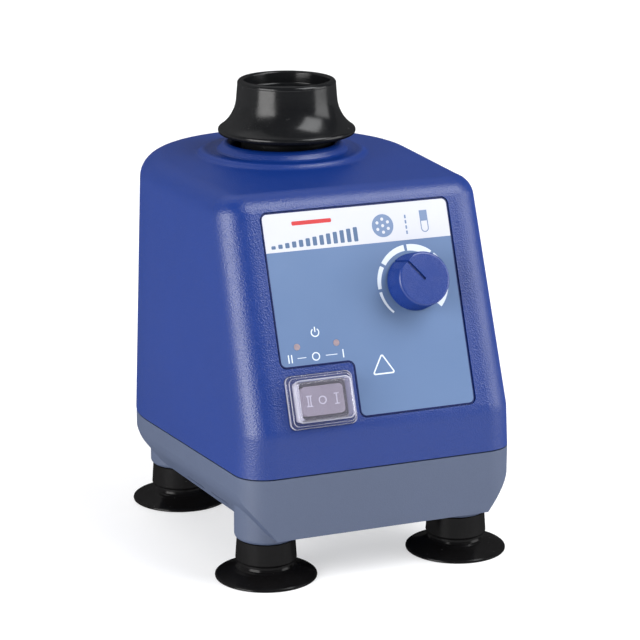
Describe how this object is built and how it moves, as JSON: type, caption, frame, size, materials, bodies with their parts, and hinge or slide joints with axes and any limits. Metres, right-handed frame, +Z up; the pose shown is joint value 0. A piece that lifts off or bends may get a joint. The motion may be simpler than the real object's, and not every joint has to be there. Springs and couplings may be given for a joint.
{
  "type": "vortex mixer",
  "caption": "Bench vortex mixer: orbiting rubber cup head on a blue housing with sloped panel, speed knob, rocker switch, rear mains inlet and suction feet.",
  "frame": {"origin": "on the bench, under the middle of the overall box", "axes": "+Z up, -Y is the front with the sloped control panel, +X to the user's right when facing the panel"},
  "size_m": [0.123, 0.171, 0.1787],
  "materials": {
    "housing_blue": "fine spark-eroded texture, semi-matt",
    "tray_grey": "satin",
    "label_film": "printed polycarbonate film",
    "lamp_lens": "diffusing",
    "black_plastic": "moulded",
    "rocker_grey": "smooth moulded",
    "clear_boot": "clear moulded",
    "knob_blue": "satin",
    "steel": "zinc plated",
    "pot_metal": "stamped can",
    "black_rubber": "smooth moulded",
    "alloy": "die cast",
    "cast_iron": "painted",
    "lamination": "varnished laminations",
    "bronze": "sintered",
    "copper": "enamelled wire",
    "board_green": "solder mask",
    "plate_silver": "anodised foil"
  },
  "bodies": {
    "housing": {"upper_housing": "housing_blue", "base_tray": "tray_grey", "front_label": "label_film", "lamp_lenses": "lamp_lens", "lamp_leds": "lamp_lens", "switch_body": "black_plastic", "switch_boot": "clear_boot", "potentiometer": "pot_metal", "pot_nut": "steel", "ballast_plate": "cast_iron", "chassis_screws": "steel", "guide_pins": "steel", "pin_clips": "steel", "control_board": "board_green", "board_components": "black_plastic", "board_standoffs": "steel", "touch_switch": "black_plastic", "mains_inlet": "black_plastic", "inlet_screws": "steel", "housing_screws": "steel", "foot_front_left": "black_rubber", "foot_front_right": "black_rubber", "foot_rear_left": "black_rubber", "foot_rear_right": "black_rubber", "foot_studs": "steel", "foot_nuts": "steel", "rating_plate": "plate_silver", "carriage_springs": "steel"},
    "carriage": {"carriage_bracket": "alloy", "upper_bracket": "alloy", "lower_bearing": "bronze", "upper_bearing": "bronze", "guide_bushes": "bronze", "stator_core": "lamination", "stator_windings": "copper", "motor_screws": "steel"},
    "rotor": {"crank_shaft": "steel", "counterweight": "cast_iron", "counterweight_screw": "steel", "rotor_core": "lamination", "fan": "black_plastic", "crank_pin_screw": "steel"},
    "head": {"cup_head": "black_rubber", "head_hub": "alloy", "head_bearings": "steel"},
    "knob": {"speed_knob": "knob_blue", "pot_spindle": "steel"},
    "rocker": {"switch_rocker": "rocker_grey"},
    "plunger": {"touch_plunger": "rocker_grey"}
  },
  "joints": [
    {"name": "touch_press", "type": "slide", "parent": "housing", "child": "carriage", "axis": [0, 0, 1], "range_m": [-0.0012, 0], "stiffness_N_per_m": 8000, "springref_m": 0.004, "deforming": ["carriage_springs"]},
    {"name": "shaft_spin", "type": "hinge", "parent": "carriage", "child": "rotor", "pos_m": [0, 0.02388, 0.117], "axis": [0, 0, 1], "continuous": true},
    {"name": "head_orbit", "type": "hinge", "parent": "rotor", "child": "head", "pos_m": [0.002, 0.02388, 0.14], "axis": [0, 0, 1], "continuous": true},
    {"name": "knob_turn", "type": "hinge", "parent": "housing", "child": "knob", "pos_m": [0.02, -0.06198, 0.11218], "axis": [0, -0.9336, 0.3584], "range_deg": [-174.5, 95.5]},
    {"name": "rocker_tilt", "type": "hinge", "parent": "housing", "child": "rocker", "pos_m": [-0.025, -0.0776, 0.07426], "axis": [0, 0.3584, 0.9336], "range_deg": [-10, 10]},
    {"name": "plunger_press", "type": "slide", "parent": "housing", "child": "plunger", "axis": [0, 0, 1], "range_m": [-0.0012, 0]}
  ],
  "couplings": [
    {"joint": "head_orbit", "follows": "shaft_spin", "ratio": -1},
    {"joint": "plunger_press", "follows": "touch_press", "ratio": 1}
  ]
}
